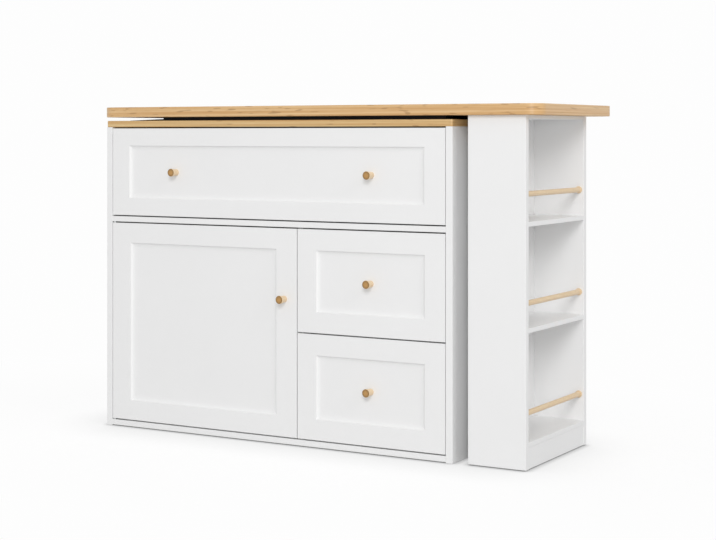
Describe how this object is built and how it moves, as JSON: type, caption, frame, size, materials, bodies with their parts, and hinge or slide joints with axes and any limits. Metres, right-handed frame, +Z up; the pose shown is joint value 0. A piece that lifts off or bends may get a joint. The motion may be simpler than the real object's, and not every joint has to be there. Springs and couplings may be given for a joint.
{
  "type": "kitchen island unit",
  "caption": "Kitchen island with a drawer and door cabinet, a fixed wooden top, and a longer swivelling wooden top carried at one end by a rolling tower of open shelves.",
  "frame": {"origin": "on the floor, midway along the swivelling top and midway between the door knob's tip and the rear edge of that top", "axes": "+X along the unit towards the shelf tower, -Y out of the drawer and door fronts, +Z up"},
  "size_m": [1.35, 0.518, 0.9],
  "materials": {
    "white_paint": "satin white paint on board",
    "inner_board": "white faced board",
    "oiled_wood": "clear oil",
    "turned_wood": "clear satin lacquer",
    "zinc_steel": "zinc plated",
    "black_steel": "black satin",
    "black_nylon": "moulded",
    "grey_rubber": "moulded"
  },
  "bodies": {
    "cabinet": {"left_side_panel": "white_paint", "right_side_panel": "white_paint", "bottom_board": "white_paint", "middle_board": "white_paint", "divider_board": "white_paint", "back_panel": "white_paint", "door_shelf": "inner_board", "fixed_top": "oiled_wood", "door_catch": "black_nylon", "front_glide_strip": "black_nylon", "rear_glide_strip": "black_nylon", "turntable_base": "black_steel", "wide_drawer_left_channel": "zinc_steel", "wide_drawer_right_channel": "zinc_steel", "upper_drawer_left_channel": "zinc_steel", "upper_drawer_right_channel": "zinc_steel", "lower_drawer_left_channel": "zinc_steel", "lower_drawer_right_channel": "zinc_steel"},
    "wide_drawer": {"wide_drawer_front": "white_paint", "wide_drawer_box": "inner_board", "wide_drawer_bottom": "inner_board", "wide_drawer_left_runner": "zinc_steel", "wide_drawer_right_runner": "zinc_steel", "wide_drawer_left_knob": "turned_wood", "wide_drawer_right_knob": "turned_wood"},
    "upper_drawer": {"upper_drawer_front": "white_paint", "upper_drawer_box": "inner_board", "upper_drawer_bottom": "inner_board", "upper_drawer_left_runner": "zinc_steel", "upper_drawer_right_runner": "zinc_steel", "upper_drawer_knob": "turned_wood"},
    "lower_drawer": {"lower_drawer_front": "white_paint", "lower_drawer_box": "inner_board", "lower_drawer_bottom": "inner_board", "lower_drawer_left_runner": "zinc_steel", "lower_drawer_right_runner": "zinc_steel", "lower_drawer_knob": "turned_wood"},
    "door": {"door_panel": "white_paint", "door_knob": "turned_wood", "door_upper_pivot": "zinc_steel", "door_lower_pivot": "zinc_steel"},
    "table": {"swivel_top": "oiled_wood", "turntable_plate": "black_steel", "tower_front_panel": "white_paint", "tower_rear_panel": "white_paint", "tower_inner_panel": "white_paint", "tower_top_board": "white_paint", "tower_upper_shelf": "white_paint", "tower_middle_shelf": "white_paint", "tower_bottom_shelf": "white_paint", "tower_plinth": "white_paint", "upper_rail": "turned_wood", "middle_rail": "turned_wood", "lower_rail": "turned_wood", "front_castor_bracket": "zinc_steel", "rear_castor_bracket": "zinc_steel"},
    "front_wheel": {"front_castor_wheel": "grey_rubber"},
    "rear_wheel": {"rear_castor_wheel": "grey_rubber"}
  },
  "joints": [
    {"name": "wide_drawer_slide", "type": "slide", "parent": "cabinet", "child": "wide_drawer", "axis": [0, -1, 0], "range_m": [0, 0.25]},
    {"name": "upper_drawer_slide", "type": "slide", "parent": "cabinet", "child": "upper_drawer", "axis": [0, -1, 0], "range_m": [0, 0.25]},
    {"name": "lower_drawer_slide", "type": "slide", "parent": "cabinet", "child": "lower_drawer", "axis": [0, -1, 0], "range_m": [0, 0.25]},
    {"name": "door_hinge", "type": "hinge", "parent": "cabinet", "child": "door", "pos_m": [-0.634, -0.228, 0.29725], "axis": [0, 0, -1], "range_deg": [0, 105]},
    {"name": "table_swivel", "type": "hinge", "parent": "cabinet", "child": "table", "pos_m": [-0.46, -0.033, 0.867], "axis": [0, 0, 1], "range_deg": [0, 180]},
    {"name": "front_wheel_spin", "type": "hinge", "parent": "table", "child": "front_wheel", "pos_m": [0.553, -0.141, 0.02], "axis": [0.9944, -0.106, 0], "continuous": true},
    {"name": "rear_wheel_spin", "type": "hinge", "parent": "table", "child": "rear_wheel", "pos_m": [0.553, 0.081, 0.02], "axis": [0.9937, 0.1118, 0], "continuous": true}
  ]
}
